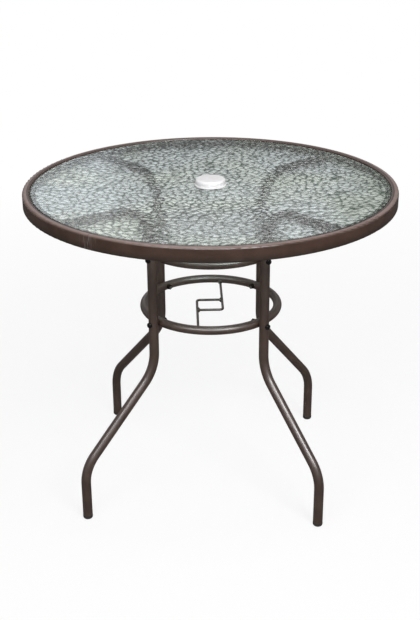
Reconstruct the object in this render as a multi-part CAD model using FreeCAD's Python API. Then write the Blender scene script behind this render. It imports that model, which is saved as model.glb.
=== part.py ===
"""Round patio table with a glass top, a capped umbrella hole and four bent tube legs.

Millimetres. The origin is on the floor under the middle of the top, +Z is up, and -Y is the front.
The top is a rolled box section rim with a ledge welded inside, and a loose glass pane on a gasket.
Each leg is one tube: an arm under the glass, an upright, a splayed shin and a foot.
Two rolled tube rings tie the uprights together, and two bent rods in the lower one guide the pole.
"""
import FreeCAD
import Part

import math
import os

# Table
TABLE_RADIUS = 400.0
RIM_TOP = 700.0

# Rim: a rolled box section, and the rolled strip inside it that the glass lies on
RIM_WIDTH = 15.0
RIM_DEPTH = 30.0
RIM_WALL = 1.2
RIM_TOP_OUTER_ROUND = 5.0
RIM_TOP_INNER_ROUND = 3.5
RIM_BOTTOM_ROUND = 1.8
LEDGE_REACH = 12.5
LEDGE_THICKNESS = 2.0
RIM_SEAM_ANGLE = -123.0
RIM_SEAM_GAP = 0.6
JOINER_LENGTH = 60.0
JOINER_WALL = 1.5
JOINER_CLEARANCE = 0.3

# Glass pane and its gasket
GLASS_THICKNESS = 5.0
GLASS_BELOW_RIM = 2.5
GLASS_EDGE_GAP = 1.5
GLASS_EDGE_ROUND = 1.0
GLASS_SEAT_GAP = 0.2
GASKET_THICKNESS = 2.0
GASKET_LIP_THICKNESS = 0.9
GASKET_LIP_BELOW_GLASS_TOP = 1.2
GASKET_CLEARANCE = 0.3

# Sleeve in the umbrella hole, and the cap that closes it
POLE_BORE_RADIUS = 19.5
SLEEVE_STEP = 2.5
SLEEVE_COUNTERBORE_DEPTH = 7.0
SLEEVE_WALL = 2.6
SLEEVE_BARREL_LENGTH = 19.5
SLEEVE_FLANGE_REACH = 9.9
SLEEVE_FLANGE_THICKNESS = 2.8
SLEEVE_FLANGE_ROUND = 1.2
SLEEVE_HOLE_CLEARANCE = 0.4
CAP_INSIDE_FLANGE = 2.0
CAP_HEIGHT = 11.6
CAP_WALL = 2.2
CAP_TOP_ROUND = 5.5
CAP_CROWN = 0.8
CAP_SEAT_GAP = 0.2
CAP_SPIGOT_LENGTH = 6.0
CAP_SPIGOT_WALL = 2.2
CAP_SPIGOT_CLEARANCE = 0.3

# Leg tube
LEG_TUBE_RADIUS = 10.6
LEG_TUBE_WALL = 1.2
LEG_AXIS_RADIUS = 168.0
FOOT_RADIUS = 346.0
ARM_BELOW_GLASS = 0.6
ARM_BEND = 72.0
KNEE_BELOW_LOWER_RING = 106.0
KNEE_BEND = 97.0
ANKLE_HEIGHT = 124.0
ANKLE_BEND = 88.0
ARM_END_GAP = 0.3
LEDGE_CLEARANCE = 0.3

# Where each leg stands, how far it is turned about its upright, and how far out its foot is set
LEG_ANGLE = {"front_left": -135.0, "front_right": -45.0, "rear_right": 48.5, "rear_left": 137.0}
LEG_TURN = {"front_left": -7.7, "front_right": 0.0, "rear_right": -6.6, "rear_left": -1.8}
FOOT_SET_OUT = {"front_left": 5.3, "front_right": -4.6, "rear_right": -8.8, "rear_left": 8.0}

# Foot plug
FOOT_CAP_PROUD = 0.2
FOOT_CAP_HEIGHT = 9.0
FOOT_CAP_ROUND = 5.0
FOOT_PLUG_LENGTH = 18.0
FOOT_PLUG_CLEARANCE = 0.2

# Spigots that carry the arms on the rim, and their screws
SPIGOT_CLEARANCE = 0.3
SPIGOT_LENGTH = 36.0
SPIGOT_SCREW_INSET = 22.0
SCREW_RADIUS = 2.5
SCREW_LENGTH = 13.0
SCREW_HEAD_RADIUS = 4.6
SCREW_HEAD_HEIGHT = 2.2
SCREW_HEAD_ROUND = 1.3
SCREW_CLEARANCE = 0.15
SCREW_HOLE_SPARE = 1.0

# Tie rings
RING_TUBE_RADIUS = 9.5
RING_TUBE_WALL = 1.5
UPPER_RING_BELOW_ARM = 111.3
RING_SPACING = 148.5
SADDLE_DEPTH = 1.1
SADDLE_CLEARANCE = 0.15

# Bolts that join rings and legs
BOLT_RADIUS = 3.0
BOLT_HOLE_CLEARANCE = 0.3
BOLT_HEAD_RADIUS = 4.9
BOLT_HEAD_HEIGHT = 2.4
BOLT_END_PROUD = 1.6
NUT_ACROSS_FLATS = 10.0
NUT_HEIGHT = 4.8
NUT_CLEARANCE = 0.05
WASHER_RADIUS = 6.0
WASHER_THICKNESS = 1.4
BOLT_CAP_WALL = 1.0
BOLT_CAP_CROWN = 1.6
BOLT_CAP_CLEARANCE = 0.2
BOLT_CAP_ROUND = 3.2

# Guide for the umbrella pole in the lower ring
GUIDE_ROD_RADIUS = 2.75
GUIDE_SPACING = 57.0
GUIDE_CORNER_BEND = 8.0
GUIDE_DROP = 4.0
GUIDE_TURN = 4.0
GUIDE_SHIFT_X = -2.5

# Places that follow from the sizes above
RIM_BOTTOM = RIM_TOP - RIM_DEPTH
RIM_INNER_RADIUS = TABLE_RADIUS - RIM_WIDTH
GLASS_TOP = RIM_TOP - GLASS_BELOW_RIM
GLASS_BOTTOM = GLASS_TOP - GLASS_THICKNESS
GLASS_RADIUS = RIM_INNER_RADIUS - GLASS_EDGE_GAP
LEDGE_TOP = GLASS_BOTTOM - GLASS_SEAT_GAP - GASKET_THICKNESS
LEDGE_BOTTOM = LEDGE_TOP - LEDGE_THICKNESS
LEDGE_INNER_RADIUS = RIM_INNER_RADIUS - LEDGE_REACH
SLEEVE_TOP = GLASS_TOP + SLEEVE_FLANGE_THICKNESS
SLEEVE_COUNTERBORE_RADIUS = POLE_BORE_RADIUS + SLEEVE_STEP
SLEEVE_BARREL_RADIUS = SLEEVE_COUNTERBORE_RADIUS + SLEEVE_WALL
SLEEVE_FLANGE_RADIUS = SLEEVE_BARREL_RADIUS + SLEEVE_FLANGE_REACH
CAP_RADIUS = SLEEVE_FLANGE_RADIUS - CAP_INSIDE_FLANGE
ARM_HEIGHT = GLASS_BOTTOM - ARM_BELOW_GLASS - LEG_TUBE_RADIUS
LEG_BORE_RADIUS = LEG_TUBE_RADIUS - LEG_TUBE_WALL
FOOT_CAP_RADIUS = LEG_TUBE_RADIUS + FOOT_CAP_PROUD
RING_CENTRE_RADIUS = LEG_AXIS_RADIUS - LEG_TUBE_RADIUS - RING_TUBE_RADIUS + SADDLE_DEPTH
UPPER_RING_HEIGHT = ARM_HEIGHT - UPPER_RING_BELOW_ARM
LOWER_RING_HEIGHT = UPPER_RING_HEIGHT - RING_SPACING
KNEE_HEIGHT = LOWER_RING_HEIGHT - KNEE_BELOW_LOWER_RING
BOLT_CAP_RADIUS = BOLT_HEAD_RADIUS + BOLT_CAP_CLEARANCE + BOLT_CAP_WALL
BOLT_CAP_HEIGHT = BOLT_HEAD_HEIGHT + BOLT_CAP_CLEARANCE + BOLT_CAP_CROWN
FULL_TURN = 360.0

ORIGIN = FreeCAD.Vector(0, 0, 0)
UP = FreeCAD.Vector(0, 0, 1)
DOWN = FreeCAD.Vector(0, 0, -1)


def at(radius, angle, height=0.0):
    """The point at a radius and a plan angle in degrees, at a height."""
    turn = math.radians(angle)
    return FreeCAD.Vector(radius * math.cos(turn), radius * math.sin(turn), height)


def cylinder(radius, base, axis, length):
    return Part.makeCylinder(radius, length, base, axis)


def rounded_path(points, radii, closed=False):
    """A wire along the points, with a tangent arc of the given radius at each of them."""
    count = len(points)
    corners = []
    for i, (point, radius) in enumerate(zip(points, radii)):
        if radius <= 0 or (not closed and i in (0, count - 1)):
            corners.append((point, None, point))
            continue
        back = (points[i - 1] - point).normalize()
        on = (points[(i + 1) % count] - point).normalize()
        half = back.getAngle(on) / 2
        reach = radius / math.tan(half)
        middle = (back + on).normalize()
        centre = point + middle * (radius / math.sin(half))
        corners.append((point + back * reach, centre - middle * radius, point + on * reach))
    edges = []
    for i, (start, middle, end) in enumerate(corners):
        if middle is not None:
            edges.append(Part.Arc(start, middle, end).toShape())
        if i < count - 1 or closed:
            following = corners[(i + 1) % count][0]
            if (following - end).Length > 1e-6:
                edges.append(Part.LineSegment(end, following).toShape())
    return Part.Wire(Part.__sortEdges__(edges))


def section(points, radii):
    """A closed face in the XZ plane from (radius, height) points with rounded corners."""
    outline = [FreeCAD.Vector(r, 0, z) for r, z in points]
    return Part.Face(rounded_path(outline, radii, closed=True))


def turned(points, radii, angle=FULL_TURN, start=0.0):
    """A section turned about the table's axis."""
    face = section(points, radii)
    face.rotate(ORIGIN, UP, start)
    return face.revolve(ORIGIN, UP, angle)


def round_bar(path, radius):
    """A round bar of the given radius along a wire."""
    first = path.OrderedEdges[0]
    start = path.OrderedVertexes[0].Point
    along = first.tangentAt(first.FirstParameter)
    circle = Part.Wire(Part.makeCircle(radius, start, along))
    bar = path.makePipeShell([circle], True, False)
    if bar.Volume < 0:
        bar.reverse()
    return Part.Solid(bar) if bar.ShapeType == "Shell" else bar


def rim_outline(inset):
    """Outline of the box section, drawn in by an inset."""
    low, high = RIM_BOTTOM + inset, RIM_TOP - inset
    inner, outer = RIM_INNER_RADIUS + inset, TABLE_RADIUS - inset
    points = [(inner, low), (outer, low), (outer, high), (inner, high)]
    full = [RIM_BOTTOM_ROUND, RIM_BOTTOM_ROUND, RIM_TOP_OUTER_ROUND, RIM_TOP_INNER_ROUND]
    return points, [max(r - inset, 0.0) for r in full]


def open_ring():
    """Angle and start of a ring whose two ends meet at the seam with a hair gap."""
    gap = math.degrees(RIM_SEAM_GAP / TABLE_RADIUS)
    return {"angle": FULL_TURN - gap, "start": RIM_SEAM_ANGLE + gap / 2}


def make_rim_frame():
    """The rolled box section."""
    body = turned(*rim_outline(0.0), **open_ring())
    return body.cut(turned(*rim_outline(RIM_WALL), **open_ring()))


def make_rim_ledge():
    """Flat strip rolled to the rim's inner wall and welded to it, which carries the gasket."""
    points = [(LEDGE_INNER_RADIUS, LEDGE_BOTTOM), (RIM_INNER_RADIUS, LEDGE_BOTTOM),
              (RIM_INNER_RADIUS, LEDGE_TOP), (LEDGE_INNER_RADIUS, LEDGE_TOP)]
    return turned(points, [0, 0, 0, 0], **open_ring())


def make_rim_joiner():
    """The short box that plugs both ends of the rolled rim at the seam."""
    span = math.degrees(JOINER_LENGTH / (TABLE_RADIUS - RIM_WIDTH / 2))
    start = RIM_SEAM_ANGLE - span / 2
    inset = RIM_WALL + JOINER_CLEARANCE
    body = turned(*rim_outline(inset), angle=span, start=start)
    return body.cut(turned(*rim_outline(inset + JOINER_WALL), angle=span, start=start))


def make_glass_gasket():
    """An L section: a flat strip on the ledge, and a lip between the pane's edge and the rim."""
    outer = RIM_INNER_RADIUS - GASKET_CLEARANCE
    top = LEDGE_TOP + GASKET_THICKNESS
    lip_top = GLASS_TOP - GASKET_LIP_BELOW_GLASS_TOP
    lip_inner = outer - GASKET_LIP_THICKNESS
    points = [(LEDGE_INNER_RADIUS, LEDGE_TOP), (outer, LEDGE_TOP), (outer, lip_top),
              (lip_inner, lip_top), (lip_inner, top), (LEDGE_INNER_RADIUS, top)]
    return turned(points, [0, 0, 0, 0, 0, 0])


def make_glass_top():
    """The pane, with ground edges and the hole for the sleeve."""
    hole = SLEEVE_BARREL_RADIUS + SLEEVE_HOLE_CLEARANCE
    points = [(hole, GLASS_BOTTOM), (GLASS_RADIUS, GLASS_BOTTOM), (GLASS_RADIUS, GLASS_TOP),
              (hole, GLASS_TOP)]
    return turned(points, [GLASS_EDGE_ROUND] * 4)


def make_umbrella_sleeve():
    """Flanged sleeve: the cap's spigot fits its counterbore, and the pole runs in the bore below."""
    step = SLEEVE_TOP - SLEEVE_COUNTERBORE_DEPTH
    foot = GLASS_TOP - SLEEVE_BARREL_LENGTH
    points = [
        (POLE_BORE_RADIUS, foot), (SLEEVE_BARREL_RADIUS, foot), (SLEEVE_BARREL_RADIUS, GLASS_TOP),
        (SLEEVE_FLANGE_RADIUS, GLASS_TOP), (SLEEVE_FLANGE_RADIUS, SLEEVE_TOP),
        (SLEEVE_COUNTERBORE_RADIUS, SLEEVE_TOP), (SLEEVE_COUNTERBORE_RADIUS, step),
        (POLE_BORE_RADIUS, step),
    ]
    return turned(points, [0, 0, 0, 0, SLEEVE_FLANGE_ROUND, 0, 0, 0])


def make_umbrella_cap():
    """Hollow crowned cap: its spigot fits the sleeve, and its skirt stands on the sleeve's flange."""
    low = SLEEVE_TOP + CAP_SEAT_GAP
    top = low + CAP_HEIGHT
    ceiling = top - CAP_WALL
    spigot = SLEEVE_COUNTERBORE_RADIUS - CAP_SPIGOT_CLEARANCE
    bore = spigot - CAP_SPIGOT_WALL
    tip = low - CAP_SPIGOT_LENGTH
    edge = CAP_RADIUS - CAP_TOP_ROUND
    round_middle = CAP_TOP_ROUND * math.sqrt(0.5)
    v = [FreeCAD.Vector(r, 0, z) for r, z in (
        (0, ceiling), (bore, ceiling), (bore, tip), (spigot, tip), (spigot, low), (CAP_RADIUS, low),
        (CAP_RADIUS, top - CAP_TOP_ROUND), (edge, top), (0, top + CAP_CROWN))]
    edges = [Part.LineSegment(v[i], v[i + 1]).toShape() for i in range(6)]
    centre = FreeCAD.Vector(edge, 0, top - CAP_TOP_ROUND)
    on_round = centre + FreeCAD.Vector(round_middle, 0, round_middle)
    edges.append(Part.Arc(v[6], on_round, v[7]).toShape())
    crown_radius = (edge ** 2 + CAP_CROWN ** 2) / (2 * CAP_CROWN)
    half_way = math.sqrt(crown_radius ** 2 - (edge / 2) ** 2)
    on_crown = FreeCAD.Vector(edge / 2, 0, top + CAP_CROWN - crown_radius + half_way)
    edges.append(Part.Arc(v[7], on_crown, v[8]).toShape())
    edges.append(Part.LineSegment(v[8], v[0]).toShape())
    cap = Part.Face(Part.Wire(edges)).revolve(ORIGIN, UP, FULL_TURN)
    skirt = CAP_RADIUS - CAP_WALL
    groove = turned([(spigot, tip), (skirt, tip), (skirt, ceiling), (spigot, ceiling)],
                    [0, 0, CAP_TOP_ROUND - CAP_WALL, 0])
    return cap.cut(groove)


def leg_axis(leg):
    """Foot of the line that the leg's upright stands on."""
    return at(LEG_AXIS_RADIUS, LEG_ANGLE[leg])


def arm_direction(leg):
    return at(1.0, LEG_ANGLE[leg] + LEG_TURN[leg])


def foot_centre(leg):
    return leg_axis(leg) + arm_direction(leg) * (FOOT_RADIUS + FOOT_SET_OUT[leg] - LEG_AXIS_RADIUS)


def rim_meeting(leg):
    """Point on the arm's axis where it meets the rim's inner wall."""
    start, along = leg_axis(leg), arm_direction(leg)
    across = start.dot(along)
    beyond = RIM_INNER_RADIUS ** 2 - start.dot(start) + across ** 2
    return start + along * (math.sqrt(beyond) - across) + UP * ARM_HEIGHT


def leg_path(leg):
    """Centre line of the leg: arm, upright, splayed shin and foot."""
    axis = leg_axis(leg)
    foot = foot_centre(leg)
    points = [rim_meeting(leg) + arm_direction(leg) * LEG_TUBE_RADIUS, axis + UP * ARM_HEIGHT,
              axis + UP * KNEE_HEIGHT, foot + UP * ANKLE_HEIGHT, foot + UP * FOOT_CAP_HEIGHT]
    return rounded_path(points, [0, ARM_BEND, KNEE_BEND, ANKLE_BEND, 0])


def rim_and_beyond(gap):
    """What an arm's end is cut back from: the rim and all outside it, and the ledge, with a gap."""
    low = UP * (ARM_HEIGHT - 2 * LEG_TUBE_RADIUS)
    ledge_low = UP * (LEDGE_BOTTOM - LEDGE_CLEARANCE)
    height = 4 * LEG_TUBE_RADIUS
    outside = TABLE_RADIUS + RIM_WIDTH
    beyond = cylinder(outside, low, UP, height).cut(cylinder(RIM_INNER_RADIUS - gap, low, UP, height))
    reach = LEDGE_INNER_RADIUS - LEDGE_CLEARANCE
    over = cylinder(outside, ledge_low, UP, height).cut(cylinder(reach, ledge_low, UP, height))
    return beyond.fuse(over)


def bolt_holes(leg, heights):
    """Radial drillings for the ring bolts, through ring and upright."""
    inward = at(-1.0, LEG_ANGLE[leg])
    start = LEG_AXIS_RADIUS + 2 * LEG_TUBE_RADIUS
    length = start - RING_CENTRE_RADIUS + 2 * RING_TUBE_RADIUS
    radius = BOLT_RADIUS + BOLT_HOLE_CLEARANCE
    return [cylinder(radius, at(start, LEG_ANGLE[leg], z), inward, length) for z in heights]


def make_leg(leg):
    """One bent tube, coped round the ledge, drilled for two ring bolts and the spigot's screw."""
    path = leg_path(leg)
    tube = round_bar(path, LEG_TUBE_RADIUS).cut(round_bar(path, LEG_BORE_RADIUS))
    tube = tube.cut(rim_and_beyond(ARM_END_GAP))
    for hole in bolt_holes(leg, [UPPER_RING_HEIGHT, LOWER_RING_HEIGHT]):
        tube = tube.cut(hole)
    seat = screw_point(leg)
    drill = cylinder(SCREW_RADIUS + SCREW_CLEARANCE, seat + DOWN * LEG_TUBE_RADIUS, UP,
                     LEG_TUBE_RADIUS * 2)
    return tube.cut(drill)


def make_foot_cap(leg):
    """Rounded plug in the tube's lower end, flat where it stands."""
    bore = LEG_BORE_RADIUS - FOOT_PLUG_CLEARANCE
    top = FOOT_CAP_HEIGHT + FOOT_PLUG_LENGTH
    points = [(0, 0), (FOOT_CAP_RADIUS, 0), (FOOT_CAP_RADIUS, FOOT_CAP_HEIGHT),
              (bore, FOOT_CAP_HEIGHT), (bore, top), (0, top)]
    cap = turned(points, [0, FOOT_CAP_ROUND, 0, 0, 0, 0])
    cap.translate(foot_centre(leg))
    return cap


def screw_point(leg):
    """Lowest point of the arm, where the spigot's screw goes in."""
    along = arm_direction(leg)
    return rim_meeting(leg) - along * SPIGOT_SCREW_INSET + DOWN * LEG_TUBE_RADIUS


def make_rim_spigot(leg):
    """Stub on the rim's inner wall that fills the arm's end."""
    along = arm_direction(leg)
    start = rim_meeting(leg) - along * SPIGOT_LENGTH
    bar = cylinder(LEG_BORE_RADIUS - SPIGOT_CLEARANCE, start, along, SPIGOT_LENGTH + LEG_TUBE_RADIUS)
    bar = bar.cut(rim_and_beyond(0.0))
    hole = cylinder(SCREW_RADIUS + SCREW_CLEARANCE, screw_point(leg), UP, SCREW_LENGTH + SCREW_HOLE_SPARE)
    return bar.cut(hole)


def make_rim_screw(leg):
    """Pan head screw from below through the arm into the spigot."""
    seat = screw_point(leg)
    head = cylinder(SCREW_HEAD_RADIUS, seat, DOWN, SCREW_HEAD_HEIGHT)
    rim_edges = [e for e in head.Edges if abs(e.CenterOfMass.z - seat.z + SCREW_HEAD_HEIGHT) < 0.01]
    head = head.makeFillet(SCREW_HEAD_ROUND, rim_edges)
    return head.fuse(cylinder(SCREW_RADIUS, seat, UP, SCREW_LENGTH)).removeSplitter()


def ring_torus(height, radius):
    return Part.makeTorus(RING_CENTRE_RADIUS, radius, UP * height, UP)


def make_ring(height):
    """Rolled tube ring, pressed in where each upright lies against it, and drilled for the bolts."""
    outside = ring_torus(height, RING_TUBE_RADIUS)
    inside = ring_torus(height, RING_TUBE_RADIUS - RING_TUBE_WALL)
    low = height - 2 * RING_TUBE_RADIUS
    for leg in LEG_ANGLE:
        foot = leg_axis(leg) + UP * low
        saddle = LEG_TUBE_RADIUS + SADDLE_CLEARANCE
        outside = outside.cut(cylinder(saddle, foot, UP, 4 * RING_TUBE_RADIUS))
        inside = inside.cut(cylinder(saddle + RING_TUBE_WALL, foot, UP, 4 * RING_TUBE_RADIUS))
    ring = outside.cut(inside)
    for leg in LEG_ANGLE:
        ring = ring.cut(bolt_holes(leg, [height])[0])
    return ring


def make_ring_bolt(leg, height):
    """Bolt with a low round head outside the upright."""
    outward = at(1.0, LEG_ANGLE[leg])
    seat = at(LEG_AXIS_RADIUS + LEG_TUBE_RADIUS, LEG_ANGLE[leg], height)
    tip = RING_CENTRE_RADIUS - RING_TUBE_RADIUS - WASHER_THICKNESS - NUT_HEIGHT - BOLT_END_PROUD
    length = LEG_AXIS_RADIUS + LEG_TUBE_RADIUS - tip
    head = cylinder(BOLT_HEAD_RADIUS, seat, outward, BOLT_HEAD_HEIGHT)
    shank = cylinder(BOLT_RADIUS, seat - outward * length, outward, length)
    return head.fuse(shank).removeSplitter()


def make_washer(leg, height):
    """Washer dished to lie on the ring's inner side."""
    outward = at(1.0, LEG_ANGLE[leg])
    inner = RING_CENTRE_RADIUS - RING_TUBE_RADIUS - WASHER_THICKNESS
    base = at(inner, LEG_ANGLE[leg], height)
    length = WASHER_THICKNESS + WASHER_RADIUS
    disc = cylinder(WASHER_RADIUS, base, outward, length)
    hole = cylinder(BOLT_RADIUS + BOLT_HOLE_CLEARANCE, base, outward, length)
    shell = cylinder(RING_CENTRE_RADIUS, UP * (height - length), UP, 2 * length)
    return disc.common(shell).cut(hole).cut(ring_torus(height, RING_TUBE_RADIUS))


def make_nut(leg, height):
    """Hexagon nut on the washer."""
    outward = at(1.0, LEG_ANGLE[leg])
    far = RING_CENTRE_RADIUS - RING_TUBE_RADIUS - WASHER_THICKNESS - NUT_HEIGHT
    base = at(far, LEG_ANGLE[leg], height)
    sideways = UP.cross(outward)
    corner = NUT_ACROSS_FLATS / math.sqrt(3)
    turns = [math.radians(60 * i) for i in range(6)]
    points = [base + UP * (corner * math.cos(t)) + sideways * (corner * math.sin(t)) for t in turns]
    hexagon = Part.Face(Part.makePolygon(points + points[:1]))
    nut = hexagon.extrude(outward * NUT_HEIGHT)
    return nut.cut(cylinder(BOLT_RADIUS + NUT_CLEARANCE, base, outward, NUT_HEIGHT))


def make_bolt_cap(leg, height):
    """Domed snap cap over the bolt head, with a skirt that follows the upright."""
    outward = at(1.0, LEG_ANGLE[leg])
    seat = at(LEG_AXIS_RADIUS + LEG_TUBE_RADIUS, LEG_ANGLE[leg], height)
    skirt = BOLT_CAP_RADIUS / 2
    cap = cylinder(BOLT_CAP_RADIUS, seat - outward * skirt, outward, skirt + BOLT_CAP_HEIGHT)
    top = seat + outward * BOLT_CAP_HEIGHT
    top_edges = [e for e in cap.Edges if (e.CenterOfMass - top).Length < 0.01]
    cap = cap.makeFillet(BOLT_CAP_ROUND, top_edges)
    hollow = cylinder(BOLT_HEAD_RADIUS + BOLT_CAP_CLEARANCE, seat - outward * skirt, outward,
                      skirt + BOLT_HEAD_HEIGHT + BOLT_CAP_CLEARANCE)
    upright = cylinder(LEG_TUBE_RADIUS + BOLT_CAP_CLEARANCE,
                       leg_axis(leg) + UP * (height - 2 * BOLT_CAP_RADIUS), UP, 4 * BOLT_CAP_RADIUS)
    return cap.cut(hollow).cut(upright)


def guide_place(shape):
    """Moves a shape from the guide's own square into its place in the lower ring."""
    shape.rotate(ORIGIN, UP, GUIDE_TURN)
    shape.translate(FreeCAD.Vector(GUIDE_SHIFT_X, 0, LOWER_RING_HEIGHT - GUIDE_DROP))
    return shape


def guide_rod(side):
    """One L bent rod: from the ring past the pole, then across to the other rod."""
    half = GUIDE_SPACING / 2
    points = [FreeCAD.Vector(side * half, side * RING_CENTRE_RADIUS, 0),
              FreeCAD.Vector(side * half, -side * half, 0),
              FreeCAD.Vector(-side * half, -side * half, 0)]
    return round_bar(rounded_path(points, [0, GUIDE_CORNER_BEND, 0]), GUIDE_ROD_RADIUS)


def make_guide_rod(side):
    """The rod cut to butt on the ring's inner side and on the other rod."""
    half = GUIDE_SPACING / 2
    start = FreeCAD.Vector(-side * half, -side * RING_CENTRE_RADIUS, 0)
    other = cylinder(GUIDE_ROD_RADIUS, start, FreeCAD.Vector(0, side, 0), RING_CENTRE_RADIUS)
    rod = guide_place(guide_rod(side).cut(other))
    room = cylinder(RING_CENTRE_RADIUS, UP * (LOWER_RING_HEIGHT - 2 * RING_TUBE_RADIUS), UP,
                    4 * RING_TUBE_RADIUS)
    return rod.common(room).cut(ring_torus(LOWER_RING_HEIGHT, RING_TUBE_RADIUS))


def group(maker, *places):
    """Like pieces in one node, each a separate solid."""
    return Part.makeCompound([maker(leg, *places) for leg in LEG_ANGLE])


def all_parts():
    parts = {
        "rim_frame": make_rim_frame(),
        "rim_ledge": make_rim_ledge(),
        "rim_joiner": make_rim_joiner(),
        "glass_gasket": make_glass_gasket(),
        "glass_top": make_glass_top(),
        "umbrella_sleeve": make_umbrella_sleeve(),
        "umbrella_cap": make_umbrella_cap(),
        "rim_spigots": group(make_rim_spigot),
        "rim_screws": group(make_rim_screw),
        "pole_guide_rear_rod": make_guide_rod(1),
        "pole_guide_front_rod": make_guide_rod(-1),
    }
    for leg in LEG_ANGLE:
        parts["leg_" + leg] = make_leg(leg)
        parts["foot_cap_" + leg] = make_foot_cap(leg)
    for name, height in (("upper", UPPER_RING_HEIGHT), ("lower", LOWER_RING_HEIGHT)):
        parts[name + "_ring"] = make_ring(height)
        parts[name + "_ring_bolts"] = group(make_ring_bolt, height)
        parts[name + "_ring_washers"] = group(make_washer, height)
        parts[name + "_ring_nuts"] = group(make_nut, height)
        parts[name + "_bolt_caps"] = group(make_bolt_cap, height)
    return parts


os.makedirs("parts", exist_ok=True)
for node, shape in all_parts().items():
    print(node, "solids", len(shape.Solids), "valid", shape.isValid(), "volume", round(shape.Volume))
    shape.exportStep("parts/" + node + ".step")
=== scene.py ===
"""A small round garden table: a rain glass pane in a brown rolled rim, on four bent tube legs.

Metres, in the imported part's own frame: the floor is z = 0 and the front is -Y. The sections follow
the table as it is put together, from the legs up to the cap in the pane, and then the studio.
"""
import math

import bpy
import numpy as np
from mathutils import Matrix, Vector


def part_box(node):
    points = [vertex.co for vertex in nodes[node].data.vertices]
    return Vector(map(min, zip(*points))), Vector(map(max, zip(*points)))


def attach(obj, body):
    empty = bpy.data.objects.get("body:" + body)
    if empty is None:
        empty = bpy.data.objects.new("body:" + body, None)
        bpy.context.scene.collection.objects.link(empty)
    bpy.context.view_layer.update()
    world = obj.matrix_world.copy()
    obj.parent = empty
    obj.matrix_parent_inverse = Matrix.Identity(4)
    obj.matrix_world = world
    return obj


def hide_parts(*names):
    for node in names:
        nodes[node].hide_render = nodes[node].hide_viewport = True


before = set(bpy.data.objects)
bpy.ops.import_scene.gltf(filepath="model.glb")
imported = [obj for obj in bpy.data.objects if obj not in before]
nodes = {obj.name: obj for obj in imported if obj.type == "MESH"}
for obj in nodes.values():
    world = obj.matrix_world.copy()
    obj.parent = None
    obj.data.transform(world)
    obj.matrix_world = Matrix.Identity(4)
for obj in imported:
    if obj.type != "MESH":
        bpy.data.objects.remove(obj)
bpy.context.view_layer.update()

# The view. The eye stands before the table at standing height, a hand's width to the right of its
# middle, and looks down on the pane, so that all four feet show below it.
EYE = Vector((0.0958, -2.2763, 1.3895))
TURNED_LEFT = 0.043
LOOKING_DOWN = 0.408
TILTED = -0.005
LENS = 64.01
SENSOR = 36.0

ahead = Vector((-math.sin(TURNED_LEFT) * math.cos(LOOKING_DOWN),
                math.cos(TURNED_LEFT) * math.cos(LOOKING_DOWN),
                -math.sin(LOOKING_DOWN)))
level_right = Vector((math.cos(TURNED_LEFT), math.sin(TURNED_LEFT), 0))
level_up = level_right.cross(ahead)
right = level_right * math.cos(TILTED) + level_up * math.sin(TILTED)
upward = level_up * math.cos(TILTED) - level_right * math.sin(TILTED)
turned = Matrix((right, upward, -ahead)).transposed().to_4x4()
lens = bpy.data.cameras.new("view")
lens.lens = LENS
lens.sensor_width = SENSOR
camera = bpy.data.objects.new("view", lens)
camera.matrix_world = Matrix.Translation(EYE) @ turned
bpy.context.scene.collection.objects.link(camera)
bpy.context.scene.camera = camera


# The legs. Each is one 21 mm steel tube, bent three times on a mandrel and powder coated dark brown
# before assembly. The coat is half glossy, with cloudy colour and a fine orange peel.
LEGS = ("front_left", "front_right", "rear_right", "rear_left")
LEG_BROWN = (0.030, 0.012, 0.006)
LEG_BROWN_WORN = (0.054, 0.026, 0.016)
LEG_ROUGHNESS = 0.37
LEG_SHINE = 1.0
LEG_IOR = 1.65
COAT_CLOUDS = 0.035
COAT_WORN_WITHIN = (0.3, 0.75)
COAT_SMOOTHER = 0.03
COAT_ROUGHER = 0.05
PEEL_GRAIN = 0.0016
PEEL_DEPTH = 0.000004
MOST_NOISE = (0.3, 0.7)


def feed(tree, node, inputs):
    """Links each input that is named to a socket, or sets it where a plain value is given."""
    for name, value in inputs.items():
        if isinstance(value, bpy.types.NodeSocket):
            tree.links.new(value, node.inputs[name])
        else:
            node.inputs[name].default_value = value


def add_node(tree, kind, inputs, operation=None):
    """A new shader node with its operation set and its inputs fed."""
    node = tree.nodes.new(kind)
    if operation:
        node.operation = operation
    feed(tree, node, inputs)
    return node


def new_material(name):
    """A material, its node tree and its shader."""
    material = bpy.data.materials.new(name)
    material.use_nodes = True
    return material, material.node_tree, material.node_tree.nodes["Principled BSDF"]


def place_on_piece(tree):
    """Object coordinates, which are metres in the part's frame."""
    return add_node(tree, "ShaderNodeTexCoord", {}).outputs["Object"]


def noise(tree, grain, detail, stretch=(1, 1, 1)):
    """Noise on Object coordinates whose lumps are about a grain wide."""
    place = add_node(tree, "ShaderNodeMapping", {"Vector": place_on_piece(tree), "Scale": stretch})
    texture = add_node(tree, "ShaderNodeTexNoise", {
        "Vector": place.outputs["Vector"], "Scale": 1 / grain, "Detail": detail})
    return texture.outputs["Fac"]


def ramp(tree, source, within, colours):
    """Colours that run from the first to the last as the source runs through a range."""
    node = add_node(tree, "ShaderNodeValToRGB", {"Fac": source})
    for stop, position, colour in zip(node.color_ramp.elements, within, colours):
        stop.position = position
        stop.color = (*colour, 1)
    return node.outputs["Color"]


def scaled(tree, source, within, numbers):
    """A number that runs from the first to the last as the source runs through a range."""
    node = add_node(tree, "ShaderNodeMapRange", {
        "Value": source, "From Min": within[0], "From Max": within[1],
        "To Min": numbers[0], "To Max": numbers[1]})
    return node.outputs["Result"]


def bump(tree, shader, height, depth):
    """Relief of the given depth from a height."""
    node = add_node(tree, "ShaderNodeBump", {"Height": height, "Distance": depth, "Strength": 1.0})
    feed(tree, shader, {"Normal": node.outputs["Normal"]})


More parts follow.
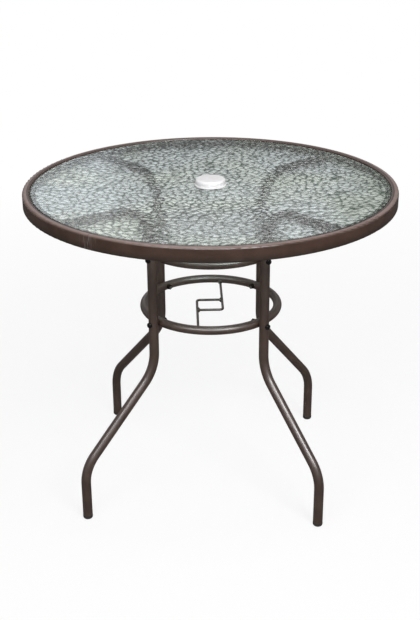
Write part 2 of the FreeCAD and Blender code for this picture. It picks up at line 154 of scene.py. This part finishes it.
def powder_coat(name, brown, worn, roughness, shine, ior):
    """Powder coat: cloudy brown, gloss that varies with the clouds, and orange peel relief."""
    material, tree, shader = new_material(name)
    clouds = noise(tree, COAT_CLOUDS, detail=4.0)
    feed(tree, shader, {
        "Base Color": ramp(tree, clouds, COAT_WORN_WITHIN, (brown, worn)),
        "Roughness": scaled(tree, clouds, MOST_NOISE,
                            (roughness - COAT_SMOOTHER, roughness + COAT_ROUGHER)),
        "Specular IOR Level": shine,
        "IOR": ior,
    })
    bump(tree, shader, noise(tree, PEEL_GRAIN, detail=1.0), PEEL_DEPTH)
    return material


def dress(material, *names):
    """Gives CAD nodes their finish."""
    for name in names:
        for slot in nodes[name].material_slots:
            slot.material = material


leg_coat = powder_coat("leg_coat", LEG_BROWN, LEG_BROWN_WORN, LEG_ROUGHNESS, LEG_SHINE, LEG_IOR)
dress(leg_coat, *("leg_" + leg for leg in LEGS))


# The foot plugs. Each is a rounded plug of dark brown polyethylene, pushed into the leg's lower end
# and scuffed grey where it has been dragged over stone.
FOOT_BROWN = (0.030, 0.026, 0.024)
FOOT_SCUFFED = (0.115, 0.105, 0.098)
FOOT_ROUGHNESS = 0.5
SCUFF_HEIGHT = 0.006
SCUFF_GRAIN = 0.002
SCUFFS_BELOW, SCUFFS_ABOVE = 0.75, 0.12
SCUFFED_WITHIN = (0.1, 0.5)
FOOT_GRAIN = 0.0012
FOOT_GRAIN_DEPTH = 0.00012


def height_of(tree, vector):
    """The Z part of a place or of a direction."""
    return add_node(tree, "ShaderNodeSeparateXYZ", {"Vector": vector}).outputs["Z"]


def combined(tree, operation, first, second):
    """Two numbers multiplied, or the larger of the two."""
    return add_node(tree, "ShaderNodeMath", {0: first, 1: second}, operation).outputs["Value"]


def scuffed_plastic():
    """Matt plastic with grey scuffs that thin out from the floor to the plug's shoulder."""
    material, tree, shader = new_material("scuffed_plastic")
    fewer_above = scaled(tree, height_of(tree, place_on_piece(tree)), (0.0, SCUFF_HEIGHT),
                         (SCUFFS_BELOW, SCUFFS_ABOVE))
    scuffs = combined(tree, "MULTIPLY", fewer_above, noise(tree, SCUFF_GRAIN, detail=3.0))
    feed(tree, shader, {
        "Base Color": ramp(tree, scuffs, SCUFFED_WITHIN, (FOOT_BROWN, FOOT_SCUFFED)),
        "Roughness": FOOT_ROUGHNESS,
    })
    bump(tree, shader, noise(tree, FOOT_GRAIN, detail=2.0), FOOT_GRAIN_DEPTH)
    return material


dress(scuffed_plastic(), *("foot_cap_" + leg for leg in LEGS))


# The tie rings. Two 19 mm tubes, rolled to circles and pressed in where each upright lies against
# them, with the same coat as the legs. They hold the four uprights at equal distances.
dress(leg_coat, "upper_ring", "lower_ring")


# The ring bolts. Zinc plated steel, from outside each upright through the ring to a dished washer
# and a hexagon nut inside it. They have gone dull, and the nuts carry traces of the brown coat.
ZINC = (0.33, 0.32, 0.30)
ZINC_DULL = (0.17, 0.155, 0.14)
ZINC_ROUGHNESS = 0.35
NUT_BROWN = (0.060, 0.047, 0.040)
NUT_STAINED = (0.022, 0.015, 0.012)
NUT_ROUGHNESS = 0.45
METAL_SHARE = 0.85
TARNISH_GRAIN = 0.004
TARNISH_WITHIN = (0.35, 0.7)
TARNISH_ROUGHER = 0.15
TURNING_MARKS = 0.0008
MARKS_CLOSER_UPWARD = (1, 1, 6)
MARKS_DEPTH = 0.00003


def tarnished_steel(name, bright, dull, roughness):
    """Metal with dull clouds on it and faint turning marks."""
    material, tree, shader = new_material(name)
    clouds = noise(tree, TARNISH_GRAIN, detail=4.0)
    feed(tree, shader, {
        "Base Color": ramp(tree, clouds, TARNISH_WITHIN, (bright, dull)),
        "Metallic": METAL_SHARE,
        "Roughness": scaled(tree, clouds, MOST_NOISE, (roughness, roughness + TARNISH_ROUGHER)),
    })
    marks = noise(tree, TURNING_MARKS, detail=1.0, stretch=MARKS_CLOSER_UPWARD)
    bump(tree, shader, marks, MARKS_DEPTH)
    return material


zinc = tarnished_steel("zinc_plate", ZINC, ZINC_DULL, ZINC_ROUGHNESS)
stained_zinc = tarnished_steel("stained_zinc", NUT_BROWN, NUT_STAINED, NUT_ROUGHNESS)
for ring in ("upper", "lower"):
    dress(zinc, ring + "_ring_bolts")
    dress(stained_zinc, ring + "_ring_washers", ring + "_ring_nuts")


# The bolt caps. Small black domes of polished nylon, snapped over the bolt heads outside the legs.
# Their skirts follow the tube, and each dome shows one bright point of light.
CAP_BLACK = (0.004, 0.004, 0.004)
CAP_RUBBED = (0.020, 0.019, 0.018)
CAP_ROUGHNESS = (0.12, 0.25)
CAP_SHINE = 0.22
RUBBED_GRAIN = 0.0015
RUBBED_WITHIN = (0.5, 0.8)
RUBBED_DEPTH = 0.00002


def polished_nylon():
    """Near black glossy plastic with a few fine rubbed spots."""
    material, tree, shader = new_material("polished_nylon")
    rubbed = noise(tree, RUBBED_GRAIN, detail=3.0)
    feed(tree, shader, {
        "Base Color": ramp(tree, rubbed, RUBBED_WITHIN, (CAP_BLACK, CAP_RUBBED)),
        "Roughness": scaled(tree, rubbed, MOST_NOISE, CAP_ROUGHNESS),
        "Specular IOR Level": CAP_SHINE,
    })
    bump(tree, shader, rubbed, RUBBED_DEPTH)
    return material


dress(polished_nylon(), "upper_bolt_caps", "lower_bolt_caps")


# The pole guide. Two 5.5 mm rods, each bent to an L and welded into the lower ring, so that they
# make a square round the pole. A lumpy bead closes each weld, under the same brown coat.
GUIDE_CENTRE = (-0.0025, 0.0)
GUIDE_TURN = math.radians(4)
GUIDE_HALF = 0.0285
GUIDE_HEIGHT = 0.4175
ROD_RADIUS = 0.00275
RING_RADIUS = 0.149
RING_TUBE = 0.0095
RING_ABOVE_GUIDE = 0.004
BEAD_OUT = 0.0055
BEAD_ALONG = 0.0036
BEAD_LUMPS = 5
BEAD_LUMPY = 0.10
BEAD_UNEVEN = 0.06
BEAD_ROWS = 13
BEAD_COLUMNS = 24

dress(leg_coat, "pole_guide_rear_rod", "pole_guide_front_rod")


def grid_quads(rows, columns, wrap_columns=False):
    """Corner numbers of the quads of a grid of points, row by row."""
    across = columns if wrap_columns else columns - 1
    row, column = np.meshgrid(np.arange(rows - 1), np.arange(across), indexing="ij")
    after = (column + 1) % columns
    start = row * columns
    corners = (start + column, start + after, start + columns + after, start + columns + column)
    return np.stack(corners, axis=-1).reshape(-1, 4)


def add_piece(name, points, faces, material, smooth=True):
    """A mesh object at the origin, whose points are metres in the part's frame."""
    mesh = bpy.data.meshes.new(name)
    mesh.from_pydata(np.asarray(points).tolist(), [], [list(face) for face in faces])
    if smooth:
        mesh.shade_smooth()
    else:
        mesh.shade_flat()
    mesh.materials.append(material)
    piece = bpy.data.objects.new(name, mesh)
    bpy.context.scene.collection.objects.link(piece)
    return piece


def weld_bead(centre, along):
    """Points and quads of a lumpy ball round a rod's end, squashed along the rod.

    With u round the rod and v from pole to pole, the radius is
    1 + (BEAD_LUMPY sin(BEAD_LUMPS u) + BEAD_UNEVEN cos(3u + 2v)) sin(v),
    times BEAD_OUT across the rod and BEAD_ALONG along it.
    """
    v, u = np.meshgrid(np.linspace(0, math.pi, BEAD_ROWS),
                       np.arange(BEAD_COLUMNS) * 2 * math.pi / BEAD_COLUMNS, indexing="ij")
    radius = (1 + BEAD_LUMPY * np.sin(BEAD_LUMPS * u) * np.sin(v)
              + BEAD_UNEVEN * np.cos(3 * u + 2 * v) * np.sin(v))
    along = np.array([*along, 0.0])
    side = np.array([-along[1], along[0], 0.0])
    up = np.array([0, 0, 1.0])
    points = (np.array(centre)
              + (radius * np.cos(v))[..., None] * along * BEAD_ALONG
              + (radius * np.sin(v) * np.cos(u))[..., None] * side * BEAD_OUT
              + (radius * np.sin(v) * np.sin(u))[..., None] * up * BEAD_OUT)
    return points.reshape(-1, 3), grid_quads(BEAD_ROWS, BEAD_COLUMNS, wrap_columns=True)


def in_guide(x, y):
    """A point of the guide's own square, turned and moved to its place in the lower ring."""
    turned_x = x * math.cos(GUIDE_TURN) - y * math.sin(GUIDE_TURN)
    turned_y = x * math.sin(GUIDE_TURN) + y * math.cos(GUIDE_TURN)
    return turned_x + GUIDE_CENTRE[0], turned_y + GUIDE_CENTRE[1]


def guide_beads():
    """Two beads for each rod: where its tail meets the ring, and where its end meets the other rod.

    The tail runs out from the side of the square until it is as far from the middle as the ring's
    inner wall is at the rods' height.
    """
    reach = RING_RADIUS - math.sqrt(RING_TUBE ** 2 - RING_ABOVE_GUIDE ** 2)
    tail = (-math.sin(GUIDE_TURN), math.cos(GUIDE_TURN))
    cross = (math.cos(GUIDE_TURN), math.sin(GUIDE_TURN))
    points, faces = [], []
    for side in (1, -1):
        x, y = in_guide(side * GUIDE_HALF, 0)
        near = x * tail[0] + y * tail[1]
        out = -near + side * math.sqrt(near ** 2 + reach ** 2 - x ** 2 - y ** 2)
        at_ring = (x + tail[0] * out, y + tail[1] * out, GUIDE_HEIGHT)
        at_rod = (*in_guide(side * (ROD_RADIUS - GUIDE_HALF), -side * GUIDE_HALF), GUIDE_HEIGHT)
        for centre, along in ((at_ring, tail), (at_rod, cross)):
            bead, quads = weld_bead(centre, along)
            faces.append(quads + sum(len(earlier) for earlier in points))
            points.append(bead)
    return np.concatenate(points), np.concatenate(faces)


beads = add_piece("guide_weld_beads", *guide_beads(), leg_coat)
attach(beads, "frame")


# The rim. One rolled box section, 30 mm deep and 15 mm wide, closed by a seam at the front left and
# with the ledge strip welded inside it. Its coat is redder than the legs'. Its up-facing surfaces
# carry a painted highlight in patches, with painted shade on the strip of the top along the pane,
# and its wall is painted darker towards the lower edge and scratched at the seam.
RIM_BROWN = (0.038, 0.018, 0.012)
RIM_BROWN_WORN = (0.061, 0.032, 0.022)
RIM_ROUGHNESS = 0.33
RIM_SHINE = 0.75
RIM_IOR = 1.5
# Painted highlight: up-facing surfaces of the rim are turned paler in patches.
RIM_TOP_HIGHLIGHT = (0.262, 0.190, 0.173)
UPWARD_FROM = 0.40
HIGHLIGHT_PATCHES = 0.012
HIGHLIGHT_LEAST = 0.75
TOP_ROUGHER = 0.12
# Painted shade: the strip of the rim's top next to the pane is darker.
RIM_PAINTED_SHADE = (0.072, 0.050, 0.043)
PAINTED_SHADE_WITHIN = 0.3905
PAINTED_SHADE_FADE = 0.001
PAINTED_SHADE_SMOOTHER = 0.02
SEAM_PLACE = (-0.2179, -0.3355, 0.685)
SEAM_REACH = 0.030
SCRATCH_PALE = (0.170, 0.145, 0.135)
SCRATCH_GRAIN = 0.0022
SCRATCH_UPRIGHT = (1, 1, 0.08)
SCRATCHED_WITHIN = (0.52, 0.66)
# Painted shade: the rim's wall is darker towards its lower edge.
RIM_LOWER_SHADE = (0.011, 0.008, 0.005)
LOWER_SHADE_TOP = 0.684
LOWER_SHADE_MOST = 0.85


def seam_scratches(tree):
    """The share of upright pale streaks, which end SEAM_REACH away from the seam."""
    away = add_node(tree, "ShaderNodeVectorMath", {0: place_on_piece(tree), 1: SEAM_PLACE},
                    "DISTANCE")
    near = scaled(tree, away.outputs["Value"], (0.0, SEAM_REACH), (1.0, 0.0))
    streaks = noise(tree, SCRATCH_GRAIN, detail=2.0, stretch=SCRATCH_UPRIGHT)
    sharp = scaled(tree, streaks, SCRATCHED_WITHIN, (0.0, 1.0))
    return combined(tree, "MULTIPLY", near, sharp)


def lower_edge_shade(tree):
    """The share of painted shade, which thins out from the rim's lower edge to LOWER_SHADE_TOP."""
    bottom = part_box("rim_frame")[0].z
    height = height_of(tree, place_on_piece(tree))
    return scaled(tree, height, (bottom, LOWER_SHADE_TOP), (LOWER_SHADE_MOST, 0.0))


def facing_up(tree):
    """1 where the surface faces the sky, and 0 where its normal rises by less than UPWARD_FROM."""
    normal = add_node(tree, "ShaderNodeNewGeometry", {}).outputs["Normal"]
    return scaled(tree, height_of(tree, normal), (UPWARD_FROM, 1.0), (0.0, 1.0))


def near_pane(tree):
    """1 up to PAINTED_SHADE_WITHIN from the table's middle, and 0 from PAINTED_SHADE_FADE beyond that."""
    level = add_node(tree, "ShaderNodeVectorMath", {0: place_on_piece(tree), 1: (1, 1, 0)},
                     "MULTIPLY")
    way_out = add_node(tree, "ShaderNodeVectorMath", {0: level.outputs["Vector"]}, "LENGTH")
    return scaled(tree, way_out.outputs["Value"],
                  (PAINTED_SHADE_WITHIN + PAINTED_SHADE_FADE, PAINTED_SHADE_WITHIN), (0.0, 1.0))


def mixed(tree, share, under, over, blend="MIX"):
    """One colour laid over another, or multiplied into it, by a share."""
    mix = tree.nodes.new("ShaderNodeMix")
    mix.data_type = "RGBA"
    mix.blend_type = blend
    feed(tree, mix, {"Factor": share, "A": under, "B": over})
    return mix.outputs["Result"]


def moved_by(tree, number, share, amount):
    """The number with a share of the amount added to it."""
    node = add_node(tree, "ShaderNodeMath", {0: share, 1: amount, 2: number}, "MULTIPLY_ADD")
    return node.outputs["Value"]


def rim_coat_with_painted_light():
    """The rim's coat, and over it painted shade towards the lower edge, scratches, a painted
    highlight on the top, and painted shade in the strip at the pane.
    """
    material = powder_coat("rim_coat", RIM_BROWN, RIM_BROWN_WORN, RIM_ROUGHNESS, RIM_SHINE, RIM_IOR)
    tree = material.node_tree
    shader = tree.nodes["Principled BSDF"]
    colour = shader.inputs["Base Color"].links[0].from_socket
    roughness = shader.inputs["Roughness"].links[0].from_socket
    top = facing_up(tree)
    patches = scaled(tree, noise(tree, HIGHLIGHT_PATCHES, detail=3.0), MOST_NOISE, (HIGHLIGHT_LEAST, 1.0))
    painted_highlight = combined(tree, "MULTIPLY", top, patches)
    painted_shade = combined(tree, "MULTIPLY", near_pane(tree), top)
    # Painted shade towards the lower edge, real scratches at the seam, a painted highlight on
    # up-facing surfaces, and painted shade on the strip of the top beside the pane.
    for share, layer in ((lower_edge_shade(tree), RIM_LOWER_SHADE), (seam_scratches(tree), SCRATCH_PALE),
                         (painted_highlight, RIM_TOP_HIGHLIGHT), (painted_shade, RIM_PAINTED_SHADE)):
        colour = mixed(tree, share, colour, (*layer, 1))
    roughness = moved_by(tree, roughness, top, TOP_ROUGHER)
    roughness = moved_by(tree, roughness, painted_shade, -PAINTED_SHADE_SMOOTHER)
    feed(tree, shader, {"Base Color": colour, "Roughness": roughness})
    return material


dress(rim_coat_with_painted_light(), "rim_frame", "rim_ledge")


# Inside the rim. A short box joins its two ends, and a turned stub for each arm is welded to its
# inner wall and held by a screw from below. These are bare or plated steel.
MILL_STEEL = (0.26, 0.25, 0.24)
MILL_SCALE = (0.10, 0.09, 0.085)
MILL_ROUGHNESS = 0.42

dress(tarnished_steel("mill_steel", MILL_STEEL, MILL_SCALE, MILL_ROUGHNESS),
      "rim_joiner", "rim_spigots")
dress(zinc, "rim_screws")


# The gasket. An extruded strip of black rubber, laid on the ledge and turned up between the pane's
# edge and the rim, where it shows as a thin dark line. Dust has settled on it in patches.
RUBBER_BLACK = (0.028, 0.026, 0.024)
RUBBER_DUSTY = (0.150, 0.142, 0.128)
RUBBER_ROUGHNESS = 0.75
DUST_GRAIN = 0.006
DUST_WITHIN = (0.3, 0.6)
RUBBER_GRAIN = 0.0006
RUBBER_GRAIN_DEPTH = 0.00004


def dusty_rubber():
    """Matt black rubber with dust on it."""
    material, tree, shader = new_material("dusty_rubber")
    dust = noise(tree, DUST_GRAIN, detail=5.0)
    feed(tree, shader, {
        "Base Color": ramp(tree, dust, DUST_WITHIN, (RUBBER_BLACK, RUBBER_DUSTY)),
        "Roughness": RUBBER_ROUGHNESS,
    })
    bump(tree, shader, noise(tree, RUBBER_GRAIN, detail=1.0), RUBBER_GRAIN_DEPTH)
    return material


dress(dusty_rubber(), "glass_gasket")


# The pane. Rolled rain glass, 5 mm thick and tempered: its upper side is covered with flat pebbles
# with creases between them, and its tint carries painted shade in the creases. It lies loose on the
# gasket, and lifts out with the sleeve in it.
PANE_RADIUS = 0.3835
HOLE_RADIUS = 0.0250
PANE_LOW, PANE_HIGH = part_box("glass_top")[0].z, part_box("glass_top")[1].z
PANE_EDGE = 0.0010
GRID_HALF = 150
GRID_SIDE = 2 * GRID_HALF + 1
GRID_HOLE = 10
PEBBLE = 0.0160
PEBBLE_OFF_GRID = 0.45
SPARE_PEBBLES = 4
CREASE_DEPTH = 0.00028
CREASE_SHARE = 0.18
CROWN = 0.00015
WARP = 0.0035
WARP_LENGTH = 0.031
WARP_SWAY = 3
CALM_EDGE = 0.004
PEBBLE_SEED = 7
PLAIN_DEPTH = 0.3
GLASS_PALE = (0.745, 0.795, 0.765)
# Painted shade: the tint the glass takes in its creases.
GLASS_CREASE_SHADE = (0.012, 0.024, 0.016)
PALE_WITHIN = (0.08, 0.38)
GLASS_BLUE = (0.93, 0.96, 1.0)
GLASS_GREEN = (0.97, 1.0, 0.945)
HUE_GRAIN = 0.22
HUE_WITHIN = (0.42, 0.58)
GLASS_ROUGHNESS = (0.06, 0.13)
GLASS_CLOUDS = 0.010
GLASS_IOR = 1.5
RIPPLE_GRAIN = 0.0045
RIPPLE_DEPTH = 0.00006
PANE_SHADE = (0.62, 0.68, 0.66)


def wander(here, across):
    """How far waves move a place along one direction, in metres.

    It is WARP sin(2 pi across / WARP_LENGTH + WARP_SWAY sin(here / WARP_LENGTH)).
    """
    return WARP * np.sin(2 * math.pi * across / WARP_LENGTH
                         + WARP_SWAY * np.sin(here / WARP_LENGTH))


def pebbles(x, y):
    """How deep inside its pebble each point is: 0 on a crease, and up to 1 in a pebble's middle.

    Each square of a grid of PEBBLE has one pebble, off its middle by up to PEBBLE_OFF_GRID of it.
    The depth is the distance to the second nearest pebble less that to the nearest, as a share of
    PEBBLE. Both are taken from a place that waves have moved, so that the creases wander.
    """
    u = (x + wander(x, y)) / PEBBLE
    v = (y + wander(y, x)) / PEBBLE
    half = math.ceil(PANE_RADIUS / PEBBLE) + SPARE_PEBBLES
    random = np.random.default_rng(PEBBLE_SEED)
    off_grid = random.uniform(0.5 - PEBBLE_OFF_GRID, 0.5 + PEBBLE_OFF_GRID, (2 * half, 2 * half, 2))
    column, row = np.floor(u).astype(int), np.floor(v).astype(int)
    nearest = np.full(x.shape, np.inf)
    second = nearest.copy()
    for i in range(-2, 3):
        for j in range(-2, 3):
            middle = off_grid[column + i + half, row + j + half]
            distance = np.hypot(column + i + middle[..., 0] - u, row + j + middle[..., 1] - v)
            second = np.minimum(second, np.maximum(nearest, distance))
            nearest = np.minimum(nearest, distance)
    return second - nearest


def disc_grid():
    """Plan points of a square grid bent to a disc, and the number of the square each one is on.

    A point (a, b) of the grid is on square max(|a|, |b|) and lies at the angle (pi / 4) b / a from
    the side that it is nearest to. Square GRID_HOLE becomes the edge at the hole and square
    GRID_HALF the outer one, both less PANE_EDGE, and between them the radius grows evenly.
    """
    step = np.arange(-GRID_HALF, GRID_HALF + 1)
    b, a = np.meshgrid(step, step, indexing="ij")
    square = np.maximum(np.maximum(np.abs(a), np.abs(b)), 1)
    wide = np.abs(a) >= np.abs(b)
    lead = np.where(wide, a, b)
    share = np.where(wide, b, a) / np.where(lead == 0, 1, lead)
    angle = np.where(wide, math.pi / 4 * share, math.pi / 2 - math.pi / 4 * share)
    angle = angle + np.where(lead < 0, math.pi, 0)
    way = (square - GRID_HOLE) / (GRID_HALF - GRID_HOLE)
    radius = HOLE_RADIUS + PANE_EDGE + way * (PANE_RADIUS - HOLE_RADIUS - 2 * PANE_EDGE)
    return radius * np.cos(angle), radius * np.sin(angle), square


def square_numbers(square, wanted):
    """Grid numbers of the points on one square, in order of their angle."""
    rows, columns = np.nonzero(square == wanted)
    order = np.argsort(np.arctan2(rows - GRID_HALF, columns - GRID_HALF), kind="stable")
    return rows[order] * GRID_SIDE + columns[order]


def flat_annulus(outer, inner):
    """Triangles that face down between an outer and an inner ring.

    Each inner point is the tip of a fan over its equal share of the outer points, and one more
    triangle closes the gap from each fan to the next.
    """
    each = len(outer) // len(inner)
    fan_tip = np.roll(np.repeat(inner, each), each // 2 - each)
    fan = np.stack([outer, fan_tip, np.roll(outer, -1)], axis=-1)
    turn = np.nonzero(fan_tip != np.roll(fan_tip, -1))[0]
    after = (turn + 1) % len(outer)
    closing = np.stack([outer[after], fan_tip[turn], fan_tip[after]], axis=-1)
    return np.concatenate([fan, closing])


def pane_mesh():
    """Points, groups of faces and each point's depth in its pebble.

    The first group is the upper side. It lies below the pane's top by
    CREASE_DEPTH exp(-depth / CREASE_SHARE) + CROWN (1 - depth)^2, and less within CALM_EDGE of an
    edge. Then come the ground edges at the rim and at the hole, and the flat lower side.
    """
    x, y, square = disc_grid()
    way_out = np.hypot(x, y)
    from_edge = np.minimum(PANE_RADIUS - way_out, way_out - HOLE_RADIUS)
    calm = np.clip(from_edge / CALM_EDGE, 0, 1)
    depth = pebbles(x, y)
    sunk = CREASE_DEPTH * np.exp(-depth / CREASE_SHARE) + CROWN * (1 - np.minimum(depth, 1)) ** 2
    points = [np.stack([x, y, PANE_HIGH - calm * sunk], axis=-1).reshape(-1, 3)]
    quads = grid_quads(GRID_SIDE, GRID_SIDE)
    faces = [quads[square.ravel()[quads].min(axis=1) >= GRID_HOLE]]
    count = GRID_SIDE ** 2
    lowest = []
    for wanted, wall, sign in ((GRID_HALF, PANE_RADIUS, 1), (GRID_HOLE, HOLE_RADIUS, -1)):
        above = square_numbers(square, wanted)
        angle = np.arctan2(y.ravel()[above], x.ravel()[above])
        for radius, height in ((wall, PANE_HIGH - PANE_EDGE), (wall, PANE_LOW + PANE_EDGE),
                               (wall - sign * PANE_EDGE, PANE_LOW)):
            points.append(np.stack([radius * np.cos(angle), radius * np.sin(angle),
                                    np.full(len(angle), height)], axis=-1))
            below = count + np.arange(len(angle))
            count += len(angle)
            strip = np.stack([above, below, np.roll(below, -1), np.roll(above, -1)], axis=-1)
            faces.append(strip if sign > 0 else strip[:, ::-1])
            above = below
        lowest.append(above)
    faces.append(flat_annulus(*lowest))
    depths = np.full(count, PLAIN_DEPTH)
    depths[:GRID_SIDE ** 2] = depth.ravel()
    return np.concatenate(points), faces, depths


def shown_by(tree, share, shader, other):
    """Shows another shader in place of the material's own, by a share."""
    mix = add_node(tree, "ShaderNodeMixShader", {
        "Fac": share, 1: shader.outputs["BSDF"], 2: other})
    feed(tree, tree.nodes["Material Output"], {"Surface": mix.outputs["Shader"]})


def rain_glass():
    """Clear glass that lets lamplight through, pale on the pebbles, with painted shade darkening the
    creases.
    """
    material, tree, shader = new_material("rain_glass")
    depth = tree.nodes.new("ShaderNodeAttribute")
    depth.attribute_name = "depth"
    # Painted shade: the tint runs from dark in the creases to pale on the pebbles, by depth.
    pebble = ramp(tree, depth.outputs["Fac"], PALE_WITHIN, (GLASS_CREASE_SHADE, GLASS_PALE))
    hue = ramp(tree, noise(tree, HUE_GRAIN, detail=1.0), HUE_WITHIN, (GLASS_GREEN, GLASS_BLUE))
    clouds = noise(tree, GLASS_CLOUDS, detail=2.0)
    feed(tree, shader, {
        "Base Color": mixed(tree, 1.0, pebble, hue, "MULTIPLY"),
        "Transmission Weight": 1.0,
        "Roughness": scaled(tree, clouds, MOST_NOISE, GLASS_ROUGHNESS),
        "IOR": GLASS_IOR,
    })
    bump(tree, shader, noise(tree, RIPPLE_GRAIN, detail=2.0), RIPPLE_DEPTH)
    clear = add_node(tree, "ShaderNodeBsdfTransparent", {"Color": (*PANE_SHADE, 1)})
    rays = add_node(tree, "ShaderNodeLightPath", {})
    shown_by(tree, rays.outputs["Is Shadow Ray"], shader, clear.outputs["BSDF"])
    return material


pane_points, pane_faces, pane_depths = pane_mesh()
pane = add_piece("rain_glass_pane", pane_points, [face for group in pane_faces for face in group],
                 rain_glass(), smooth=False)
waved = np.arange(sum(len(group) for group in pane_faces)) < len(pane_faces[0])
pane.data.polygons.foreach_set("use_smooth", waved)
pane.data.attributes.new("depth", "FLOAT", "POINT").data.foreach_set("value", pane_depths)
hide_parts("glass_top")
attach(pane, "glass")


# The sleeve and its cap. Both are white moulded plastic: the flanged sleeve lines the hole for the
# umbrella pole, and the cap, a shallow dish with a soft edge, closes it when no umbrella is used.
WHITE = (0.78, 0.77, 0.785)
WHITE_YELLOWED = (0.72, 0.705, 0.70)
WHITE_ROUGHNESS = 0.55
WHITE_SHINE = 0.25
YELLOW_CLOUDS = 0.012
YELLOWED_WITHIN = (0.4, 0.85)
MOULDED_GRAIN = 0.0009
MOULDED_DEPTH = 0.00003


def white_plastic():
    """Half matt white plastic, a little yellowed in clouds, with a fine moulded grain."""
    material, tree, shader = new_material("white_plastic")
    clouds = noise(tree, YELLOW_CLOUDS, detail=3.0)
    feed(tree, shader, {
        "Base Color": ramp(tree, clouds, YELLOWED_WITHIN, (WHITE, WHITE_YELLOWED)),
        "Roughness": WHITE_ROUGHNESS,
        "Specular IOR Level": WHITE_SHINE,
    })
    bump(tree, shader, noise(tree, MOULDED_GRAIN, detail=1.0), MOULDED_DEPTH)
    return material


dress(white_plastic(), "umbrella_sleeve", "umbrella_cap")


# The studio. A pale floor that fades into a white surround. Two wide lamps hang high in front, on
# the right and on the left, and draw the light lines along the tubes. A weak one hangs overhead,
# and two narrow ones behind the table light the pane.
TABLE_MIDDLE = (0, 0, 0.5)
FLOOR_REACH = 30.0
FLOOR_SIDES = 96
FLOOR_BELOW = 0.0005
FLOOR_PALE = (0.88, 0.88, 0.88)
FLOOR_DARKER = (0.13, 0.12, 0.11)
FLOOR_ROUGHNESS = 0.9
FLOOR_MIRRORED = 0.04
FLOOR_LIT = 0.16
FADE_START = 0.5
FADE_END = 2.4
AMBIENT = 0.26
HORIZON = 0.55
CEILING = 0.20
CEILING_FROM = 0.30


def background_rays(tree, reflected):
    """1 for rays from the camera and through glass, and the given number for reflected ones."""
    rays = add_node(tree, "ShaderNodeLightPath", {})
    share = combined(tree, "MULTIPLY", rays.outputs["Is Glossy Ray"], reflected)
    for kind in ("Is Camera Ray", "Is Transmission Ray"):
        share = combined(tree, "MAXIMUM", share, rays.outputs[kind])
    return share


def studio_floor():
    """A round pale floor, a hair below the feet, whose own colour fades into the white surround.

    Seen from the camera or through the pane it is paper white, with FLOOR_LIT of its real light
    near the table, so that the shadows stay, and none of it from FADE_END on. In reflections it is
    darker, as paving is, which gives the tubes their dark edges.
    """
    turns = np.arange(FLOOR_SIDES) * 2 * math.pi / FLOOR_SIDES
    corners = np.stack([FLOOR_REACH * np.cos(turns), FLOOR_REACH * np.sin(turns),
                        np.full(FLOOR_SIDES, -FLOOR_BELOW)], axis=-1)
    material, tree, shader = new_material("studio_floor")
    rays = add_node(tree, "ShaderNodeLightPath", {})
    feed(tree, shader, {
        "Base Color": ramp(tree, rays.outputs["Is Glossy Ray"], (0.0, 1.0),
                           (FLOOR_PALE, FLOOR_DARKER)),
        "Roughness": FLOOR_ROUGHNESS,
        "Specular IOR Level": 0.0,
    })
    away = add_node(tree, "ShaderNodeVectorMath", {0: place_on_piece(tree)}, "LENGTH")
    fade = scaled(tree, away.outputs["Value"], (FADE_START, FADE_END), (1 - FLOOR_LIT, 1.0))
    share = combined(tree, "MULTIPLY", fade, background_rays(tree, FLOOR_MIRRORED))
    white = add_node(tree, "ShaderNodeEmission", {})
    shown_by(tree, share, shader, white.outputs["Emission"])
    return add_piece("studio_floor", corners, [range(FLOOR_SIDES)], material, smooth=False)


studio_floor()


def soft_lamp(name, place, aim, width, length, power, colour=(1, 1, 1)):
    """A rectangular area lamp that looks from its place to its aim. Power is in watts."""
    light = bpy.data.lights.new(name, "AREA")
    light.shape = "RECTANGLE"
    light.size = width
    light.size_y = length
    light.energy = power
    light.color = colour
    lamp = bpy.data.objects.new(name, light)
    lamp.location = place
    lamp.rotation_euler = (Vector(aim) - Vector(place)).to_track_quat("-Z", "Y").to_euler()
    bpy.context.scene.collection.objects.link(lamp)


soft_lamp("front", (1.66, -2.88, 3.08), TABLE_MIDDLE, 1.5, 1.2, 108.0)
soft_lamp("window", (-0.98, -3.00, 2.95), TABLE_MIDDLE, 2.4, 0.8, 62.0)
soft_lamp("top", (0.25, -0.6, 3.0), TABLE_MIDDLE, 0.5, 0.5, 11.0)
soft_lamp("rear", (-0.50, 4.2, 2.35), (0, -0.4, 0.7), 2.2, 0.25, 2.6)
soft_lamp("rear_left", (-1.15, 4.2, 1.95), (-0.3, 0, 0.7), 0.8, 0.32, 0.9, (0.86, 0.92, 1.0))


def surround_strength(tree):
    """1 where the surround is seen, and AMBIENT where it only lights.

    In reflections it is HORIZON at eye level and falls to CEILING from CEILING_FROM up, but isn't
    less than AMBIENT.
    """
    direction = add_node(tree, "ShaderNodeTexCoord", {}).outputs["Generated"]
    reflected = scaled(tree, height_of(tree, direction), (0.0, CEILING_FROM), (HORIZON, CEILING))
    return combined(tree, "MAXIMUM", background_rays(tree, reflected), AMBIENT)


world = bpy.data.worlds.new("white_surround")
bpy.context.scene.world = world
world.use_nodes = True
feed(world.node_tree, world.node_tree.nodes["Background"], {
    "Color": (1, 1, 1, 1), "Strength": surround_strength(world.node_tree)})
bpy.context.scene.view_settings.view_transform = "Standard"
